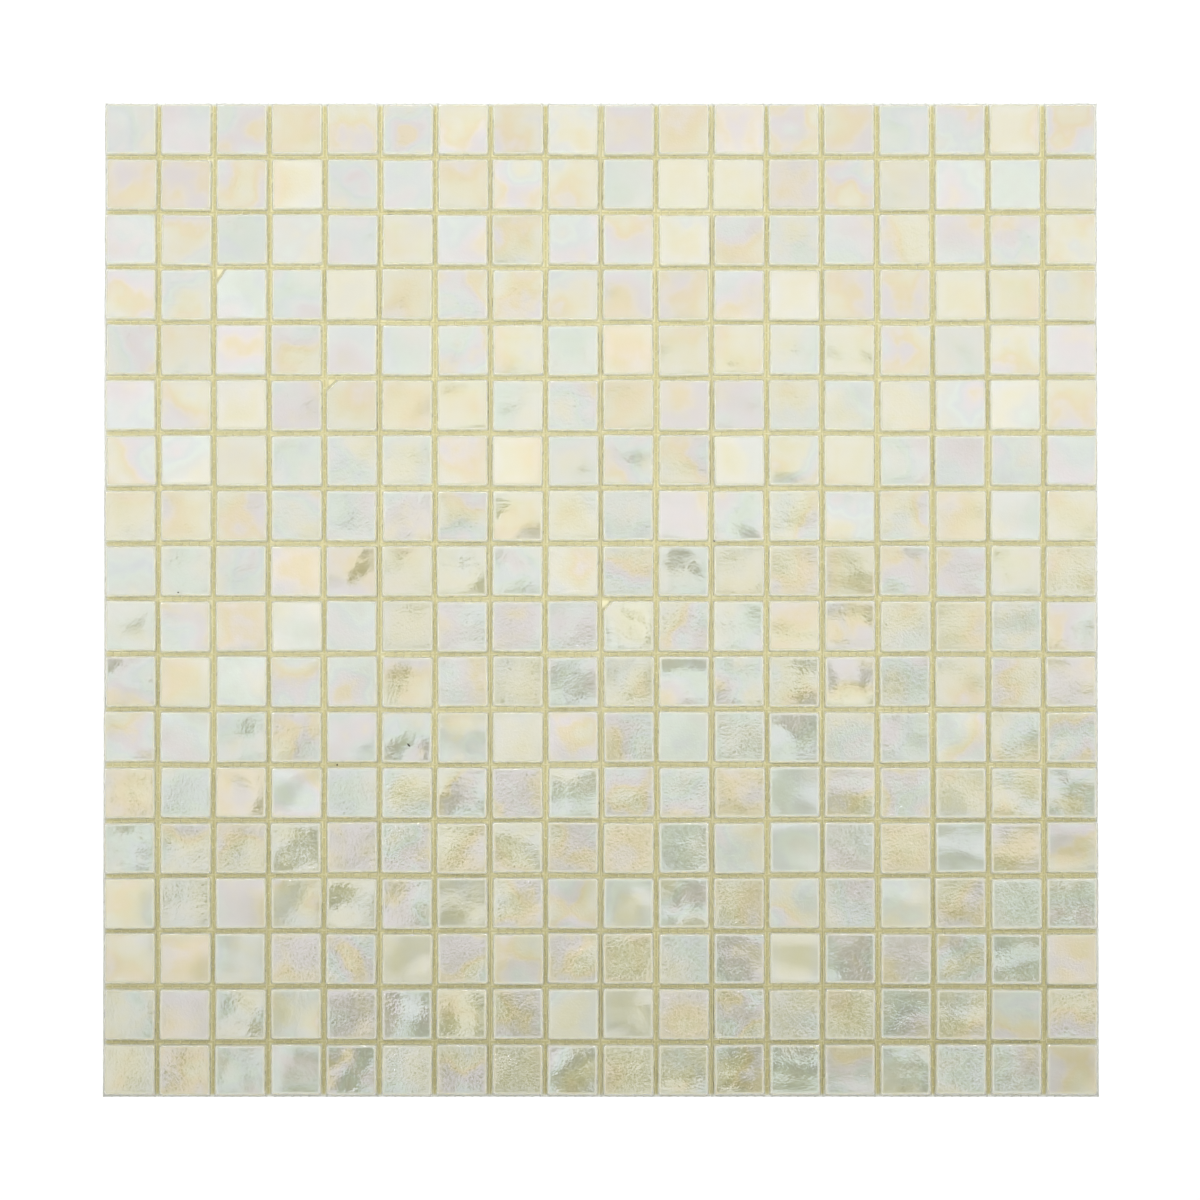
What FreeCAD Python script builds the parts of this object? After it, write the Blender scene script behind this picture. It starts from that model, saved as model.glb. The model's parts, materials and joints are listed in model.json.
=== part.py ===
import FreeCAD, Part

import math
import os
import random

# A sheet of glass mosaic. Small square tesserae of pressed pearly glass lie face up in rows and columns, with
# open joints between them, and their backs are glued to a net of glass-fibre yarns. X runs along the rows, Y up
# the columns and Z out of the faces. The origin is in the middle of the sheet, level with the net's underside.

Vector = FreeCAD.Vector

# The tesserae, in millimetres
tiles_per_side = 18
tile_back = 15.4  # across the back, where a tessera is widest
tile_thickness = 4.0
side_draft = 0.5  # how far each side leans in from the back up to the arris
arris = 0.6  # the softened edge round the face, as wide as it is deep
corner_cut = 0.9  # along each side, what the softened corner takes off where the arris starts

# How they are laid
joint = 1.0  # open joint between the backs of two neighbours
stray = 0.2 * joint  # how far the hand that laid a tessera let it slide out of line
swing = 0.1 * joint  # and how far it let the ends of an edge swing
laying_seed = 18

# Broken corners: row, column, which side it is on along X and along Y, the lengths lost along X and along Y at
# the level of the face, and how far below the face the break would come out on the corner's own edge
snapped_corners = [
    (4, 3, -1, 1, 3.6, 5.6, 12.0),
    (6, 5, -1, 1, 4.2, 4.2, 12.0),
    (10, 10, -1, 1, 3.6, 3.6, 12.0),
    (18, 13, 1, 1, 5.2, 4.8, 1.1),
]

# The net: two layers of flat yarns, the warp on the glass and the weft beneath it
net_margin = 0.4  # how far the net reaches past the tesserae of the rim
warp_spacing = 2.52
weft_spacing = 2.72
yarn_width = 0.6
yarn_thickness = 0.2

# Worked out from those
pitch = tile_back + joint
glass_across = tiles_per_side * pitch - joint
net_across = glass_across + 2 * net_margin
warp_level = yarn_thickness
glass_level = 2 * yarn_thickness
largest_turn = math.degrees(2 * swing / tile_back)


def cut_square(half, cut, level):
    """The eight corners of a square with its corners cut off, in order round it."""
    side = [Vector(half, half - cut, level), Vector(half - cut, half, level)]
    turns = [FreeCAD.Rotation(Vector(0, 0, 1), 90 * quarter) for quarter in range(4)]
    return [turn.multVec(point) for turn in turns for point in side]


def facet(outline):
    """A flat face inside an outline, in which neighbouring points may fall together."""
    points = [p for k, p in enumerate(outline) if not p.isEqual(outline[k - 1], 1e-6)]
    return Part.Face(Part.makePolygon([*points, points[0]]))


def band(lower, upper):
    """The facets between two rings of points."""
    return [
        facet([lower[k - 1], lower[k], upper[k], upper[k - 1]])
        for k in range(len(lower))
    ]


def tessera():
    """One tessera on its back, with drafted sides and a softened arris. Its corners are sharp at the back and
    softened from there up."""
    shoulder_half = tile_back / 2 - side_draft
    face_half = shoulder_half - arris
    face_cut = corner_cut - arris * (2 - math.sqrt(2))  # the arris is as wide at the corners
    back = cut_square(tile_back / 2, 0, 0)
    shoulder = cut_square(shoulder_half, corner_cut, tile_thickness - arris)
    face = cut_square(face_half, face_cut, tile_thickness)
    facets = [facet(back), *band(back, shoulder), *band(shoulder, face), facet(face)]
    solid = Part.Solid(Part.makeShell(facets))
    if solid.Volume < 0:
        solid.reverse()
    return solid


def snap_corner(tile, side_x, side_y, lost_x, lost_y, depth):
    """The tessera without what lies outside a flat break across one of its corners."""
    x = side_x * tile_back / 2
    y = side_y * tile_back / 2
    break_face = facet(
        [
            Vector(x - side_x * lost_x, y, tile_thickness),
            Vector(x, y - side_y * lost_y, tile_thickness),
            Vector(x, y, tile_thickness - depth),
        ]
    )
    outside = Vector(2 * x, 2 * y, tile_thickness)
    return tile.cut(break_face.makeHalfSpace(outside)).Solids[0]


def lay(tile, row, column, hand):
    """The tessera in its place in the sheet, slid and turned a little by the hand that laid it."""
    middle = (tiles_per_side + 1) / 2
    x = (column - middle) * pitch + hand.uniform(-stray, stray)
    y = (middle - row) * pitch + hand.uniform(-stray, stray)
    turn = FreeCAD.Rotation(Vector(0, 0, 1), hand.uniform(-largest_turn, largest_turn))
    laid = tile.copy()
    laid.Placement = FreeCAD.Placement(Vector(x, y, glass_level), turn)
    return laid


def tile_rows():
    """The rows of tesserae from the top of the sheet down, each a list of separate solids."""
    whole = tessera()
    snapped = {(row, column): snap_corner(whole, *rest) for row, column, *rest in snapped_corners}
    hand = random.Random(laying_seed)
    places = range(1, tiles_per_side + 1)
    return [
        [lay(snapped.get((row, column), whole), row, column, hand) for column in places]
        for row in places
    ]


def yarn_places(spacing):
    """Where the middles of a layer's yarns lie: one in the middle of the sheet, one flush with each edge of the
    net, and the rest as near to the spacing as that allows."""
    reach = (net_across - yarn_width) / 2
    per_side = max(1, round(reach / spacing))
    return [reach * k / per_side for k in range(-per_side, per_side + 1)]


def net_warp():
    """The yarns that run up the sheet."""
    return [
        Part.makeBox(
            yarn_width,
            net_across,
            yarn_thickness,
            Vector(x - yarn_width / 2, -net_across / 2, warp_level),
        )
        for x in yarn_places(warp_spacing)
    ]


def net_weft():
    """The yarns that run across it."""
    return [
        Part.makeBox(
            net_across,
            yarn_width,
            yarn_thickness,
            Vector(-net_across / 2, y - yarn_width / 2, 0),
        )
        for y in yarn_places(weft_spacing)
    ]


def save(name, solids):
    """One file for one node."""
    Part.makeCompound(solids).exportStep(f"parts/{name}.step")


os.makedirs("parts", exist_ok=True)
for row, solids in enumerate(tile_rows(), start=1):
    save(f"tile_row_{row:02d}", solids)
save("net_warp", net_warp())
save("net_weft", net_weft())
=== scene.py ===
import json
import math
import random

import bmesh
import bpy
from mathutils import Matrix, Vector

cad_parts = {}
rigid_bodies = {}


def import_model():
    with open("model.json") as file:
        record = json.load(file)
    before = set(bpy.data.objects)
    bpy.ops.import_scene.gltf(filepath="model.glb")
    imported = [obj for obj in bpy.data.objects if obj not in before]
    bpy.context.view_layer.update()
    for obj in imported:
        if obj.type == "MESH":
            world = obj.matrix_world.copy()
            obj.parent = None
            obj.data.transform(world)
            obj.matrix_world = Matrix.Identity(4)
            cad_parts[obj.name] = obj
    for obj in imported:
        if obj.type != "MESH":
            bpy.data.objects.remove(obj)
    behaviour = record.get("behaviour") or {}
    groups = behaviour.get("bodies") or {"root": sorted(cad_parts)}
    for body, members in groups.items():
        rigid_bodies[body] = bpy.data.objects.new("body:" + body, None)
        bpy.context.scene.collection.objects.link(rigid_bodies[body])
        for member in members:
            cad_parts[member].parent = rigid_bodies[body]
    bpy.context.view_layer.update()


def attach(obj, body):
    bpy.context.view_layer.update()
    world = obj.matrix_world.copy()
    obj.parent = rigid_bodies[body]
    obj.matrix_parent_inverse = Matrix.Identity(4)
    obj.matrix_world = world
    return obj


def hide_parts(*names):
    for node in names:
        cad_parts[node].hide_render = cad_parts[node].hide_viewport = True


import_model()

# The net.
# Two layers of flat glass-fibre yarns, sized with acrylic resin and dried, which the backs of the tesserae
# are glued to: the warp runs up the sheet against the glass, and the weft across it, beneath the warp.
mm = 0.001
tiles_per_side = 18
tile_back = 15.4 * mm  # across a tessera's back, where it is widest
joint = 1.0 * mm  # open joint between the backs of two neighbours
net_margin = 0.4 * mm  # how far the net reaches past the tesserae of the rim
yarn_width = 0.6 * mm
yarn_thickness = 0.2 * mm
warp_spacing = 2.52 * mm
weft_spacing = 2.72 * mm
yarn_sides = 6
yarn_pinch = 0.82  # a yarn's width where another crosses it, as a share of its widest
yarn_slimmest = 0.92  # the least width between two crossings, as a share of its widest
yarn_lift = 0.02 * mm  # how far a yarn bends up or down from one crossing to the next
yarn_wander = 0.07 * mm  # how far it strays sideways
wander_lengths = (35, 70)  # mm from one stray to the same side to the next
streaks_across, streaks_along = 9000, 350  # to the metre, so a streak is 0.11 mm wide and 3 mm long
# Where the net and glue are painted lighter towards the rim of the net, as painted light:
open_light_from, open_light_to = 1.2 * mm, 0.4 * mm  # in from the edge of the net
pitch = tile_back + joint
net_across = tiles_per_side * pitch - joint + 2 * net_margin


def linear(colour):
    """An sRGB hex colour as the linear RGBA that a shader takes."""
    parts = [int(colour[k : k + 2], 16) / 255 for k in (0, 2, 4)]
    return (*(c / 12.92 if c <= 0.04045 else ((c + 0.055) / 1.055) ** 2.4 for c in parts), 1)


def add(tree, kind, inputs, **settings):
    """A node with its settings. Each input gets a value, or the output that feeds it, or a node whose first
    output does. Stops are a colour ramp's places and hex colours. Of the inputs that go by number, a Math
    works on 0 to 2, a MapRange reads from 1 to 2 and gives from 3 to 4, and a Mix goes from 6 to 7 by 0."""
    made = tree.nodes.new("ShaderNode" + kind)
    for place, (at, colour) in enumerate(settings.pop("stops", [])):
        ramp = made.color_ramp.elements
        stop = ramp[place] if place < 2 else ramp.new(at)
        stop.position = at
        stop.color = linear(colour)
    for name, value in settings.items():
        setattr(made, name, value)
    for name, value in inputs.items():
        if isinstance(value, bpy.types.Node):
            value = value.outputs[0]
        if isinstance(value, bpy.types.NodeSocket):
            tree.links.new(value, made.inputs[name])
        else:
            made.inputs[name].default_value = value
    return made


def new_material(name):
    """An empty material and its node tree."""
    material = bpy.data.materials.new(name)
    material.use_nodes = True
    material.node_tree.nodes.clear()
    return material, material.node_tree


def show(shape, name, *materials):
    """The bmesh as a finished object of that name."""
    mesh = bpy.data.meshes.new(name)
    shape.to_mesh(mesh)
    shape.free()
    for material in materials:
        mesh.materials.append(material)
    piece = bpy.data.objects.new(name, mesh)
    bpy.context.scene.collection.objects.link(piece)
    return piece


def yarn_places(spacing):
    """Where the middles of a layer's yarns lie, from one edge of the net to the other."""
    reach = (net_across - yarn_width) / 2
    per_side = max(1, round(reach / spacing))
    return [reach * k / per_side for k in range(-per_side, per_side + 1)]


def paint_open_light(tree, place, colour):
    """The colour, but painted milky white past the outer tesserae: painted light, for the open light there,
    out of the joints' shade.
    """
    outward = add(tree, "VectorMath", {0: place}, operation="ABSOLUTE")
    x, y, _ = add(tree, "SeparateXYZ", {"Vector": outward}).outputs
    outward = add(tree, "Math", {0: x, 1: y}, operation="MAXIMUM")
    reach = net_across / 2
    fade = {"Value": outward, 1: reach - open_light_from, 2: reach - open_light_to}
    open_light_mix = add(tree, "MapRange", fade)
    mixed = add(tree, "Mix", {0: open_light_mix, 6: colour, 7: linear("eef0ea")}, data_type="RGBA")
    return mixed.outputs[2]


def sized_yarn(name, scale, grooved):
    """Glass-fibre yarn in dried resin: milky, half matt, with the fibres as fine streaks along it, drawn
    twice as coarse as the real bundles of filaments so that they show."""
    material, tree = new_material(name)
    place = add(tree, "TexCoord", {}).outputs["Object"]
    stretched = add(tree, "Mapping", {"Vector": place, "Scale": scale})
    fibres = add(tree, "TexNoise", {"Vector": stretched, "Scale": 1.0, "Detail": 2.0})
    stops = [(0.3, "d9d3a8"), (0.55, "e3deba"), (0.75, "f0edd4")]
    colour = add(tree, "ValToRGB", {"Fac": fibres}, stops=stops).outputs[0]
    # painted light: the yarn is painted milky white past the outer tesserae
    colour = paint_open_light(tree, place, colour)
    shader = add(tree, "BsdfPrincipled", {"Base Color": colour, "Roughness": 0.42, "IOR": 1.52})
    if grooved:
        grooves = add(tree, "Bump", {"Height": fibres, "Strength": 0.6, "Distance": 0.05 * mm})
        tree.links.new(grooves.outputs[0], shader.inputs["Normal"])
    add(tree, "OutputMaterial", {"Surface": shader})
    return material


def net_layer(spacing, crossed_by, level, seed):
    """One layer of yarns that run along Y, each a flattened tube that bends and is pinched where the other
    layer's yarns cross it."""
    hand = random.Random(seed)
    ends = [-net_across / 2, *yarn_places(crossed_by)[1:-1], net_across / 2]
    straight = bmesh.new()
    half_side = math.radians(180 / yarn_sides)
    lying = Matrix.Rotation(math.radians(90), 4, "X") @ Matrix.Rotation(half_side, 4, "Z")
    bmesh.ops.create_circle(straight, cap_ends=True, segments=yarn_sides, radius=0.5, matrix=lying)
    section = straight.verts[:] + straight.edges[:] + straight.faces[:]
    bmesh.ops.spin(
        straight, geom=section, dvec=(0, 1, 0), axis=(0, 1, 0), angle=0, steps=len(ends) - 1
    )
    bmesh.ops.recalc_face_normals(straight, faces=straight.faces)
    for face in straight.faces:
        face.smooth = len(face.verts) == 4
    height = (yarn_thickness - 2 * yarn_lift) / math.cos(half_side)
    layer = bmesh.new()
    for x in yarn_places(spacing):
        phase = hand.uniform(0, 2 * math.pi)
        wave = hand.uniform(*wander_lengths) * mm
        room = net_across / 2 - yarn_width / 2 - abs(x)
        bends = []
        for place, y in enumerate(ends):
            up = -1 if (place + round(x / spacing)) % 2 else 1
            width = yarn_width * (yarn_pinch if up < 0 else hand.uniform(yarn_slimmest, 1))
            stray = yarn_wander * math.sin(2 * math.pi * y / wave + phase)
            if room < yarn_wander:
                stray = -abs(stray) * (1 if x > 0 else -1)
            bends.append((x + stray, y, level + up * yarn_lift, width))
        yarn = straight.copy()
        for vert in yarn.verts:
            bend_x, bend_y, bend_z, width = bends[round(vert.co.y)]
            vert.co = (bend_x + vert.co.x * width, bend_y, bend_z + vert.co.z * height)
        mesh = bpy.data.meshes.new("yarn")
        yarn.to_mesh(mesh)
        yarn.free()
        layer.from_mesh(mesh)
        bpy.data.meshes.remove(mesh)
    straight.free()
    return layer


warp = net_layer(warp_spacing, weft_spacing, 1.5 * yarn_thickness, seed=5)
streaks = (streaks_across, streaks_along, streaks_across)
warp_yarn = sized_yarn("resin-sized glass yarn, warp", streaks, grooved=True)
net = show(warp, "net_warp_yarns", warp_yarn)
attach(net, "root")
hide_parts("net_warp")
weft = net_layer(weft_spacing, warp_spacing, 0.5 * yarn_thickness, seed=6)
bmesh.ops.rotate(weft, matrix=Matrix.Rotation(math.radians(-90), 3, "Z"), verts=weft.verts)
streaks = (streaks_along, streaks_across, streaks_across)
weft_yarn = sized_yarn("resin-sized glass yarn, weft", streaks, grooved=False)
net = show(weft, "net_weft_yarns", weft_yarn)
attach(net, "root")
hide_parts("net_weft")

# The glue.
# White glue holds the net to the backs. It squeezes out under the edges of the tesserae and dries as a thin
# milky skin across the openings of the net, along every joint and past the outer tesserae.
skin_level = 0.16 * mm
skin_thickness = 0.06 * mm
skin_under_tile = 2.2 * mm  # how far it reaches under each edge
ragged = 0.3 * mm  # how unevenly it ends along the rim of the sheet
# Painted shade down the middle of each joint, full within the first and gone past the second:
joint_shade_within, joint_shade_beyond = 0.1 * mm, 0.55 * mm  # from the middle of a joint
near = 0.1 * mm  # places closer than this are the same
skin = bmesh.new()
half_grid = tiles_per_side * pitch / 2
bmesh.ops.create_grid(skin, x_segments=tiles_per_side, y_segments=tiles_per_side, size=half_grid)
cells = skin.faces[:]
bmesh.ops.inset_individual(skin, faces=cells, thickness=joint / 2 + skin_under_tile)
bmesh.ops.delete(skin, geom=cells, context="FACES")
bmesh.ops.subdivide_edges(skin, edges=skin.edges[:], cuts=4, use_grid_fill=True)
hand = random.Random(3)
for vert in skin.verts:
    if vert.is_boundary and max(abs(vert.co.x), abs(vert.co.y)) > half_grid - near:
        reach = net_across / 2 - ragged * hand.random() ** 2
        vert.co.x = max(-reach, min(reach, vert.co.x))
        vert.co.y = max(-reach, min(reach, vert.co.y))
bmesh.ops.solidify(skin, geom=skin.faces[:], thickness=skin_thickness)
bmesh.ops.translate(skin, vec=(0, 0, skin_level), verts=skin.verts)
bmesh.ops.recalc_face_normals(skin, faces=skin.faces)

# Dried glue is milky and a little yellow, with clouds about 3 mm across. Down the middle of each joint it
# is
# painted darker and golden: painted shade, for the bottom of the joint between the tesserae.
dried_glue, tree = new_material("dried white glue")
place = add(tree, "TexCoord", {}).outputs["Object"]
clouds = add(tree, "TexNoise", {"Vector": place, "Scale": 350.0, "Detail": 3.0})
stops = [(0.3, "e8e1b6"), (0.5, "f1ecc8"), (0.7, "f8f5da")]
colour = add(tree, "ValToRGB", {"Fac": clouds}, stops=stops).outputs[0]
x, y, _ = add(tree, "SeparateXYZ", {"Vector": place}).outputs
off_x = add(tree, "Math", {0: x, 1: pitch / 2}, operation="PINGPONG")
off_y = add(tree, "Math", {0: y, 1: pitch / 2}, operation="PINGPONG")
off_joint = add(tree, "Math", {0: off_x, 1: off_y}, operation="MINIMUM")
# painted shade: the glue darkens to golden down the middle of each joint
thickness = add(tree, "MapRange", {"Value": off_joint, 1: joint_shade_within, 2: joint_shade_beyond})
colour = add(tree, "Mix", {0: thickness, 6: linear("cdc795"), 7: colour}, data_type="RGBA").outputs[2]
# painted light: the glue is painted milky white past the outer tesserae
colour = paint_open_light(tree, place, colour)
shader = add(tree, "BsdfPrincipled", {"Base Color": colour, "Roughness": 0.35, "IOR": 1.47})
add(tree, "OutputMaterial", {"Surface": shader})
glue = show(skin, "glue_skin", dried_glue)
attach(glue, "root")

# The tesserae.
# Small squares of opaque milky glass, pressed in a mould, with a film of metal oxide burnt on to the hot
# face. They lie face up, glued by their backs to the net, a little out of line, as they were laid by hand.
tile_thickness = 4.0 * mm
side_draft = 0.42 * mm  # how far each side leans in from the back up to the arris
arris = 0.26 * mm  # the softened edge round the face; the CAD's one flat stands for it and the border
corner_round = 0.65 * mm
border_width = 0.4 * mm  # the face falls away a little towards its edges
border_fall = 0.005 * mm
usual_slope = 0.004  # how steeply the face of a tessera of uneven thickness may slope
largest_slope = 0.011
largest_crown = 0.03 * mm  # how far its middle may stand up or hang down
stray = 0.2 * joint  # how far the hand that laid a tessera let it slide out of line
swing = 0.1 * joint  # and how far it let the ends of an edge swing
laying_seed = 18  # the one of the part's source, so that both lay the tesserae alike
finish_seed = 7
glass_level = 2 * yarn_thickness
wave_height = 0.26  # these four are the heights of a face's relief, in mm
ripple_height = 0.006
grain_heights = (0.008, 0.05)  # of the least and of the most hammered face
streak_height = 0.014
least_drift, extra_drift = 0.2, 0.45  # of the film over a face, in rounds of its colours
film_reach = 0.97  # how squarely the glass has to face up to have caught the film
melt_reach = 500  # how far each way the melt goes on, from which each is pressed in its own place, in mm
snapped_corners = {  # the last one is a shallow curved spall, and two flats make its curve
    (4, 3): [(-1, 1, 3.6 * mm, 5.6 * mm, 12.0 * mm)],
    (6, 5): [(-1, 1, 4.2 * mm, 4.2 * mm, 12.0 * mm)],
    (10, 10): [(-1, 1, 3.6 * mm, 3.6 * mm, 12.0 * mm)],
    (18, 13): [(1, 1, 5.2 * mm, 2.2 * mm, 0.9 * mm), (1, 1, 2.2 * mm, 4.8 * mm, 0.9 * mm)],
}


def highest(shape):
    """The uppermost face."""
    return max(shape.faces, key=lambda face: face.calc_center_median().z)


def pressed_tessera():
    """A tessera as it leaves the mould, lying on its back, with drafted sides, round corners and arris."""
    shape = bmesh.new()
    body_height = tile_thickness - border_fall
    size = Matrix.Diagonal((tile_back, tile_back, body_height, 1))
    raised = Matrix.Translation((0, 0, body_height / 2))
    bmesh.ops.create_cube(shape, size=1, matrix=raised @ size)
    uprights = [e for e in shape.edges if abs(e.verts[0].co.z - e.verts[1].co.z) > arris]
    rounding = {"affect": "EDGES", "segments": 2, "profile": 0.5, "material": -1}
    bmesh.ops.bevel(shape, geom=uprights, offset=corner_round, **rounding)
    lean = side_draft * body_height / (tile_thickness - arris)
    taper = 1 - 2 * lean / tile_back
    bmesh.ops.scale(shape, vec=(taper, taper, 1), verts=highest(shape).verts)
    bmesh.ops.bevel(shape, geom=highest(shape).edges, offset=arris, **rounding)
    face = highest(shape)
    for rise in (border_fall, 0):
        half = max(vert.co.x for vert in face.verts)
        inward = 1 - border_width / half
        bmesh.ops.inset_region(shape, faces=[face], thickness=0)
        bmesh.ops.scale(shape, vec=(inward, inward, 1), verts=face.verts)
        bmesh.ops.translate(shape, vec=(0, 0, rise), verts=face.verts)
    bmesh.ops.poke(shape, faces=[face])
    return shape


def snap(tile, side_x, side_y, lost_x, lost_y, depth):
    """Breaks a corner off along a flat plane and closes the break."""
    x = side_x * tile_back / 2
    y = side_y * tile_back / 2
    first = Vector((x - side_x * lost_x, y, tile_thickness))
    second = Vector((x, y - side_y * lost_y, tile_thickness))
    third = Vector((x, y, tile_thickness - depth))
    outward = (second - first).cross(third - first)
    if outward.dot(Vector((side_x, side_y, 0))) < 0:
        outward.negate()
    everything = tile.verts[:] + tile.edges[:] + tile.faces[:]
    cut = bmesh.ops.bisect_plane(
        tile, geom=everything, plane_co=first, plane_no=outward, clear_outer=True
    )
    rim = [e for e in cut["geom_cut"] if isinstance(e, bmesh.types.BMEdge)]
    broken = bmesh.ops.edgeloop_fill(tile, edges=rim)["faces"]
    bmesh.ops.recalc_face_normals(tile, faces=tile.faces)
    for edge in rim:
        edge.smooth = False
    return broken


def tile_row(row):
    """The tesserae of one row, joined in one mesh, with what the glass needs to know about each. Melt is
    where a point lies in the glass that it was pressed from, in mm. Make holds how thick the film is, how
    satin the face and how hammered. Mark holds how streaked it is, as one in five is, the tint of the body
    and how far the film drifts. Rim is 1 in the middle of the face and 0 at its edge."""
    glass = bmesh.new()
    melt = glass.verts.layers.float_vector.new("melt")
    make = glass.verts.layers.float_vector.new("make")
    mark = glass.verts.layers.float_vector.new("mark")
    rim = glass.verts.layers.float.new("rim")
    shoulder_half = tile_back / 2 - side_draft
    middle = (tiles_per_side + 1) / 2
    largest_turn = 2 * swing / tile_back
    for column in range(1, tiles_per_side + 1):
        x = (column - middle) * pitch + laying_hand.uniform(-stray, stray)
        y = (middle - row) * pitch + laying_hand.uniform(-stray, stray)
        turn = laying_hand.uniform(-largest_turn, largest_turn)
        tile = whole_tessera.copy()
        broken = []
        for corner in snapped_corners.get((row, column), []):
            broken += snap(tile, *corner)
        slopes = [finish_hand.gauss(0, usual_slope) for _ in range(2)]
        slope_x, slope_y = (max(-largest_slope, min(largest_slope, s)) for s in slopes)
        crown = finish_hand.uniform(-1, 1) * largest_crown
        sink = (abs(slope_x) + abs(slope_y)) * shoulder_half + max(0, crown)
        quarter = Matrix.Rotation(math.radians(90) * finish_hand.randrange(4), 3, "Z")
        away = Vector([finish_hand.uniform(-melt_reach, melt_reach) for _ in range(3)])
        film = finish_hand.random()
        satin = finish_hand.random()
        hammered = finish_hand.random() ** 1.5
        streaked = max(0, finish_hand.uniform(-4, 1))
        tint = finish_hand.random()
        drifting = least_drift + extra_drift * finish_hand.random() ** 2
        for face in tile.faces:
            underside = face.calc_center_median().z < near
            face.smooth = not underside and face not in broken
            bare = face in broken or face.normal.z < film_reach
            face.material_index = 1 if bare else 0
            if underside:
                for edge in face.edges:
                    edge.smooth = False
        known = len(glass.verts)
        mesh = bpy.data.meshes.new("tessera")
        tile.to_mesh(mesh)
        tile.free()
        glass.from_mesh(mesh)
        bpy.data.meshes.remove(mesh)
        glass.verts.ensure_lookup_table()
        for vert in glass.verts[known:]:
            place = vert.co.copy()
            vert[melt] = quarter @ place / mm + away
            vert[make] = (film, satin, hammered)
            vert[mark] = (streaked, tint, drifting)
            vert[rim] = max(0, 1 - max(abs(place.x), abs(place.y)) / shoulder_half)
            if place.z > tile_thickness - arris - near:
                vert.co.z += slope_x * place.x + slope_y * place.y - sink
                if place.xy.length < near:
                    vert.co.z += crown
        laid = Matrix.Translation((x, y, glass_level)) @ Matrix.Rotation(turn, 4, "Z")
        bmesh.ops.transform(glass, matrix=laid, verts=glass.verts[known:])
    return glass


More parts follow.
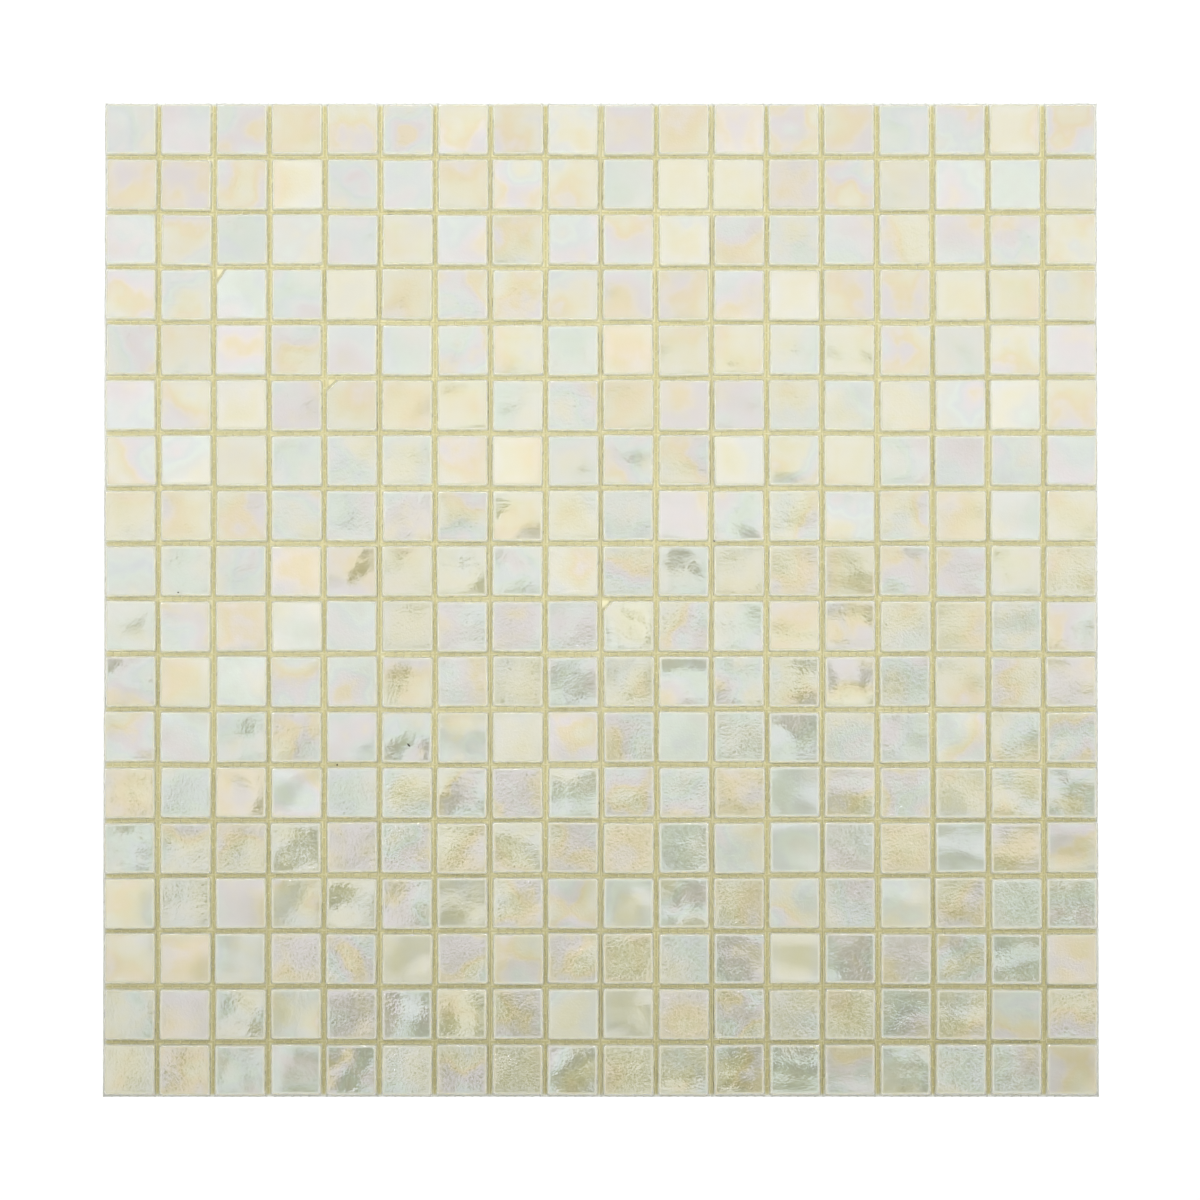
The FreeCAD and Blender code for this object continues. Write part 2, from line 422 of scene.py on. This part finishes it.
def pearl_glass():
    """Pressed glass under a film of tin and titanium oxide. The film mirrors far more than bare glass, in a
    colour that goes with its thickness, and what it lets through to the milky body is the opposite colour.
    So a face that mirrors the white room looks pearly, and one that mirrors something dark looks khaki.
    Melt is in mm, so a pattern of scale 0.1 has waves of 10 mm, and one of scale 1.5 grains of 0.7 mm."""
    material, tree = new_material("iridised pressed glass")
    melt = add(tree, "Attribute", {}, attribute_name="melt").outputs["Vector"]
    make = add(tree, "Attribute", {}, attribute_name="make").outputs["Vector"]
    mark = add(tree, "Attribute", {}, attribute_name="mark").outputs["Vector"]
    rim = add(tree, "Attribute", {}, attribute_name="rim").outputs["Fac"]
    film, satin, hammered = add(tree, "SeparateXYZ", {"Vector": make}).outputs
    streaked, tint, drifting = add(tree, "SeparateXYZ", {"Vector": mark}).outputs

    # The film's thickness drifts across a face, as the hot metal salts settled on it. At the edges it thins
    # out, and the body under it looks paler.
    drift = add(tree, "TexNoise", {"Vector": melt, "Scale": 0.06, "Detail": 3.5, "Roughness": 0.42})
    drift = add(tree, "MapRange", {"Value": drift, 1: 0.3, 2: 0.7, 3: -1.0, 4: 1.0})
    thickness = add(tree, "Math", {0: drift, 1: drifting, 2: film}, operation="MULTIPLY_ADD")
    thickness = add(tree, "Math", {0: thickness}, operation="FRACT")
    mirrored = add(
        tree,
        "ValToRGB",
        {"Fac": thickness},
        stops=[
            (0.0, "eceef8"),
            (0.1, "decde7"),
            (0.2, "e0d5ec"),
            (0.31, "f4d9d0"),
            (0.41, "f0e5e6"),
            (0.52, "f0e7ef"),
            (0.64, "e8deeb"),
            (0.75, "f1edfb"),
            (0.85, "cad3dd"),
            (0.93, "e1dff7"),
            (1.0, "eceef8"),
        ],
    )
    let_through = add(
        tree,
        "ValToRGB",
        {"Fac": thickness},
        stops=[
            (0.0, "e0e1ca"),
            (0.1, "dfdbc9"),
            (0.2, "e0dfbc"),
            (0.31, "e4dba0"),
            (0.41, "e1dfab"),
            (0.52, "e2e0ae"),
            (0.64, "e0e1b7"),
            (0.75, "dfe0c7"),
            (0.85, "dbe3c3"),
            (0.93, "dce0cc"),
            (1.0, "e0e1ca"),
        ],
    )
    mirrored.color_ramp.interpolation = let_through.color_ramp.interpolation = "B_SPLINE"
    edge = add(tree, "MapRange", {"Value": rim, 1: 0.03, 2: 0.12, 3: 0.6, 4: 0.0})
    mirrored = add(tree, "Mix", {0: edge, 6: mirrored.outputs[0], 7: linear("bebe94")}, data_type="RGBA")
    paler = add(tree, "MapRange", {"Value": rim, 1: 0.1, 2: 0.5, 3: 0.35, 4: 0.0})
    body = add(tree, "Mix", {0: paler, 6: let_through.outputs[0], 7: linear("e4e8d6")}, data_type="RGBA")
    shade = add(tree, "MapRange", {"Value": tint, 1: 0.0, 2: 1.0, 3: 0.89, 4: 1.0})
    body = add(tree, "VectorMath", {0: body.outputs[2], "Scale": shade}, operation="SCALE")

    # The face as it was pressed: wavy, rippled like chilled glass, more or less hammered, and some of them
    # drawn in streaks.
    waves = add(tree, "TexNoise", {"Vector": melt, "Scale": 0.1, "Detail": 0.0})
    ripples = add(tree, "TexNoise", {"Vector": melt, "Scale": 0.6, "Detail": 0.0})
    grains = add(tree, "TexNoise", {"Vector": melt, "Scale": 1.5, "Detail": 0.6, "Distortion": 0.6})
    drawn = add(tree, "Mapping", {"Vector": melt, "Scale": (0.12, 0.9, 0.5)})
    streaks = add(tree, "TexNoise", {"Vector": drawn, "Scale": 1.0, "Detail": 1.0})
    least, most = grain_heights
    grain_depth = add(tree, "MapRange", {"Value": hammered, 1: 0.0, 2: 1.0, 3: least, 4: most})
    streak_depth = add(tree, "Math", {0: streaked, 1: streak_height}, operation="MULTIPLY")
    height = add(tree, "Math", {0: waves, 1: wave_height}, operation="MULTIPLY")
    height = add(tree, "Math", {0: ripples, 1: ripple_height, 2: height}, operation="MULTIPLY_ADD")
    height = add(tree, "Math", {0: grains, 1: grain_depth, 2: height}, operation="MULTIPLY_ADD")
    height = add(tree, "Math", {0: streaks, 1: streak_depth, 2: height}, operation="MULTIPLY_ADD")
    bump = add(tree, "Bump", {"Height": height, "Strength": 1.0, "Distance": mm})
    roughness = add(tree, "MapRange", {"Value": satin, 1: 0.6, 2: 0.8, 3: 0.035, 4: 0.12})
    shader = add(
        tree,
        "BsdfPrincipled",
        {
            "Base Color": body,
            "Roughness": roughness,
            "IOR": 5.0,  # of the film and the glass together, from how much the faces mirror
            "Specular Tint": mirrored.outputs[2],
            "Normal": bump,
        },
    )
    add(tree, "OutputMaterial", {"Surface": shader})
    return material


def body_glass():
    """The bare body of the glass at the sides, backs and breaks: milky cream, glossy but dull in patches,
    and lit from within, because light that falls on a face wanders through and comes out at the sides."""
    material, tree = new_material("opaque cream glass")
    melt = add(tree, "Attribute", {}, attribute_name="melt").outputs["Vector"]
    clouds = add(tree, "TexNoise", {"Vector": melt, "Scale": 0.5, "Detail": 3.0})
    colour = add(tree, "ValToRGB", {"Fac": clouds}, stops=[(0.3, "f7f5dc"), (0.7, "fdfbec")])
    worn = add(tree, "TexNoise", {"Vector": melt, "Scale": 0.3, "Detail": 2.0})
    roughness = add(tree, "MapRange", {"Value": worn, 1: 0.45, 2: 0.6, 3: 0.55, 4: 0.12})
    shader = add(
        tree,
        "BsdfPrincipled",
        {
            "Base Color": colour,
            "Roughness": roughness,
            "IOR": 1.52,
            "Subsurface Weight": 1.0,
            "Subsurface Radius": (2.0, 1.9, 1.6),
            "Subsurface Scale": mm,
        },
    )
    add(tree, "OutputMaterial", {"Surface": shader})
    return material


whole_tessera = pressed_tessera()
finish_hand = random.Random(finish_seed)
laying_hand = random.Random(laying_seed)
pearl = pearl_glass()
bare_glass = body_glass()
for row in range(1, tiles_per_side + 1):
    tiles = show(tile_row(row), f"tesserae_{row:02d}", pearl, bare_glass)
    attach(tiles, "root")
    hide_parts(f"tile_row_{row:02d}")
whole_tessera.free()

# The grit.
# A few grains of dark sand and rust that stuck to two faces and in the joints, and one sliver of glass on
# the lowest row. Each is 0.6 to 2 mm long, and dried glue holds it down.
grains_of_grit = [  # x and y of the middle, length and width, all in mm, and the turn in degrees
    (-56.9, -43.4, 1.2, 0.55, -48),
    (-125.2, 1.8, 0.6, 0.45, 0),
    (-78.2, -49.2, 0.65, 0.5, 10),
    (33.6, 17.2, 0.6, 0.5, 0),
]
slivers = [(77.4, -141.1, 1.9, 0.4, 0)]
sunk = 0.05 * mm  # how deep a grain sits in what it sticks to
bpy.context.view_layer.update()
under_grit = [
    piece
    for piece in bpy.context.scene.objects
    if piece.name.startswith(("tesserae_", "glue_skin", "net_warp_y"))
]


def scattered(grains):
    """The grains as one mesh of rough lumps. Each is stuck to whatever is uppermost in its place, and worn
    level with the highest faces where it would stand above them."""
    lumps = bmesh.new()
    for x, y, length, width, turn in grains:
        start = Vector((x * mm, y * mm, 1))
        hits = [piece.ray_cast(start, Vector((0, 0, -1))) for piece in under_grit]
        level = max(place.z for hit, place, _, _ in hits if hit)
        size = Matrix.Diagonal((length * mm, width * mm, width * mm, 1))
        turned = Matrix.Rotation(math.radians(turn), 4, "Z")
        lying = Matrix.Translation((x * mm, y * mm, level)) @ turned @ size
        lump = bmesh.ops.create_icosphere(lumps, subdivisions=2, radius=0.5, matrix=lying)
        for vert in lump["verts"]:
            vert.co.z = max(level - sunk, min(vert.co.z, glass_level + tile_thickness))
    bmesh.ops.recalc_face_normals(lumps, faces=lumps.faces)
    return lumps


def stone(name, dark, light, roughness):
    """Broken mineral or glass, never polished: two shades, mottled every 0.1 mm, so that it looks rough."""
    material, tree = new_material(name)
    place = add(tree, "TexCoord", {}).outputs["Object"]
    mottle = add(tree, "TexNoise", {"Vector": place, "Scale": 9000.0, "Detail": 2.0})
    colour = add(tree, "ValToRGB", {"Fac": mottle}, stops=[(0.35, dark), (0.65, light)])
    shader = add(tree, "BsdfPrincipled", {"Base Color": colour, "Roughness": roughness, "IOR": 1.55})
    add(tree, "OutputMaterial", {"Surface": shader})
    return material


grit = show(scattered(grains_of_grit), "grit", stone("dark grit", "16140f", "3a3020", 0.7))
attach(grit, "root")
splinter = stone("splinter of milky glass", "e8e6d6", "f6f5ec", 0.3)
sliver = show(scattered(slivers), "sliver", splinter)
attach(sliver, "root")

# The studio.
# A white floor that the sheet lies on, a soft lamp high over it whose light falls steeply into the joints,
# and a dome that lights it from all round. The faces mirror that dome, which has a shaded side, brightest
# round its edge, a dark hole where the camera stands, and a bright strip that only the arrises catch.
floor_glow = 0.48  # what lifts the floor to white for the camera alone
floor_shape = bmesh.new()
bmesh.ops.create_grid(floor_shape, x_segments=1, y_segments=1, size=4)

# White paper, quite matt, so that all it shows is the soft shadow of the sheet.
paper, tree = new_material("white floor")
path = add(tree, "LightPath", {})
glow = add(tree, "Math", {0: path.outputs["Is Camera Ray"], 1: floor_glow}, operation="MULTIPLY")
shader = add(
    tree,
    "BsdfPrincipled",
    {
        "Base Color": linear("f2f2f2"),
        "Roughness": 0.9,
        "Emission Color": (1, 1, 1, 1),
        "Emission Strength": glow,
    },
)
add(tree, "OutputMaterial", {"Surface": shader})
floor = show(floor_shape, "floor", paper)

# The shaded side and the hole are ellipses with uneven edges. Each has a shift and a scale that bring it to
# a circle. The strip is a band across the dome, beyond the top edge of the sheet.
shade_shift, shade_scale = (-0.03, 0.3, 0), (5.5, 9, 0)
hole_shift, hole_scale = (-0.15, -0.05, 0), (55, 42, 0)
strip_middle, strip_half = 0.75, 0.13
dark_shade, light_shade = (0.24, 0.15, 0.0, 1), (0.33, 0.46, 0.32, 1)
near_white, far_white = (1.1, 1.23, 1.11, 1), (0.98, 0.99, 0.99, 1)
hole = (0.1, 0.1, 0.06, 1)
strip = (8.0, 8.0, 8.0, 1)
even = (0.44, 0.435, 0.405, 1)  # what lights everything but the mirroring faces
dome = bpy.data.worlds.new("soft white dome")
bpy.context.scene.world = dome
dome.use_nodes = True
tree = dome.node_tree
tree.nodes.clear()
toward = add(tree, "TexCoord", {}).outputs["Generated"]
path = add(tree, "LightPath", {})
uneven = add(tree, "TexNoise", {"Vector": toward, "Scale": 60.0, "Detail": 2.0})
uneven = add(tree, "MapRange", {"Value": uneven, 1: 0.0, 2: 1.0, 3: -1.0, 4: 1.0})
from_shade = add(tree, "Mapping", {"Vector": toward, "Location": shade_shift, "Scale": shade_scale})
from_shade = add(tree, "VectorMath", {0: from_shade}, operation="LENGTH").outputs["Value"]
clouds = add(tree, "TexNoise", {"Vector": toward, "Scale": 30.0, "Detail": 1.5})
clouds = add(tree, "MapRange", {"Value": clouds, 1: 0.3, 2: 0.7, 3: -1.0, 4: 1.0})
from_shade = add(tree, "Math", {0: clouds, 1: 0.6, 2: from_shade}, operation="MULTIPLY_ADD")
smooth = {"interpolation_type": "SMOOTHSTEP"}
lightness = add(tree, "MapRange", {"Value": from_shade, 1: 0.27, 2: 0.41}, **smooth)
shaded = add(tree, "MapRange", {"Value": uneven, 1: -0.6, 2: 0.6})
shaded = add(tree, "Mix", {0: shaded, 6: dark_shade, 7: light_shade}, data_type="RGBA").outputs[2]
far = add(tree, "MapRange", {"Value": from_shade, 1: 0.5, 2: 1.1})
white = add(tree, "Mix", {0: far, 6: near_white, 7: far_white}, data_type="RGBA").outputs[2]
wall = add(tree, "Mix", {0: lightness, 6: shaded, 7: white}, data_type="RGBA").outputs[2]
from_hole = add(tree, "Mapping", {"Vector": toward, "Location": hole_shift, "Scale": hole_scale})
from_hole = add(tree, "VectorMath", {0: from_hole}, operation="LENGTH").outputs["Value"]
from_hole = add(tree, "Math", {0: uneven, 1: 1.2, 2: from_hole}, operation="MULTIPLY_ADD")
openness = add(tree, "MapRange", {"Value": from_hole, 1: 0.95, 2: 1.15}, **smooth)
mirrored = add(tree, "Mix", {0: openness, 6: hole, 7: wall}, data_type="RGBA").outputs[2]
beyond = add(tree, "SeparateXYZ", {"Vector": toward}).outputs["Y"]
beyond = add(tree, "Math", {0: beyond, 1: strip_middle, 2: strip_half}, operation="COMPARE")
mirrored = add(tree, "Mix", {0: beyond, 6: mirrored, 7: strip}, data_type="RGBA").outputs[2]
glossy, camera_ray = path.outputs["Is Glossy Ray"], path.outputs["Is Camera Ray"]
lit = add(tree, "Mix", {0: glossy, 6: even, 7: mirrored}, data_type="RGBA").outputs[2]
seen = add(tree, "Mix", {0: camera_ray, 6: lit, 7: (1, 1, 1, 1)}, data_type="RGBA").outputs[2]
sky = add(tree, "Background", {"Color": seen, "Strength": 1.0})
add(tree, "OutputWorld", {"Surface": sky})

lamp_data = bpy.data.lights.new("soft lamp", "AREA")
lamp_data.shape = "RECTANGLE"
lamp_data.size = 0.9
lamp_data.size_y = 0.35
lamp_data.spread = math.radians(26)
lamp_data.energy = 0.83
lamp_data.color = (0.99, 1, 1.06)
lamp = bpy.data.objects.new("soft lamp", lamp_data)
lamp.location = (0, 0.12, 2.0)
lamp.visible_camera = False
lamp.visible_glossy = False  # the faces mirror the dome alone
bpy.context.scene.collection.objects.link(lamp)

# The camera.
# It looks down from far off, from a little below the middle of the sheet, as in the photograph.
photo_width = 1200
sheet_in_photo = 996  # pixels
off_middle = Vector((-0.25, -0.28, 0)) * mm  # the sheet isn't quite in the middle of the photo
camera_distance = 2.6
camera_tilt = math.radians(2)
camera_data = bpy.data.cameras.new("camera")
frame_across = net_across * photo_width / sheet_in_photo
to_faces = camera_distance - glass_level - tile_thickness
camera_data.lens = camera_data.sensor_width * to_faces / frame_across
camera_data.clip_start = 0.05
camera_data.clip_end = 20
camera = bpy.data.objects.new("camera", camera_data)
back = Vector((0, -math.sin(camera_tilt), math.cos(camera_tilt)))
camera.location = off_middle + camera_distance * back
camera.rotation_euler = (camera_tilt, 0, 0)
bpy.context.scene.collection.objects.link(camera)
bpy.context.scene.camera = camera
bpy.context.scene.view_settings.view_transform = "Standard"
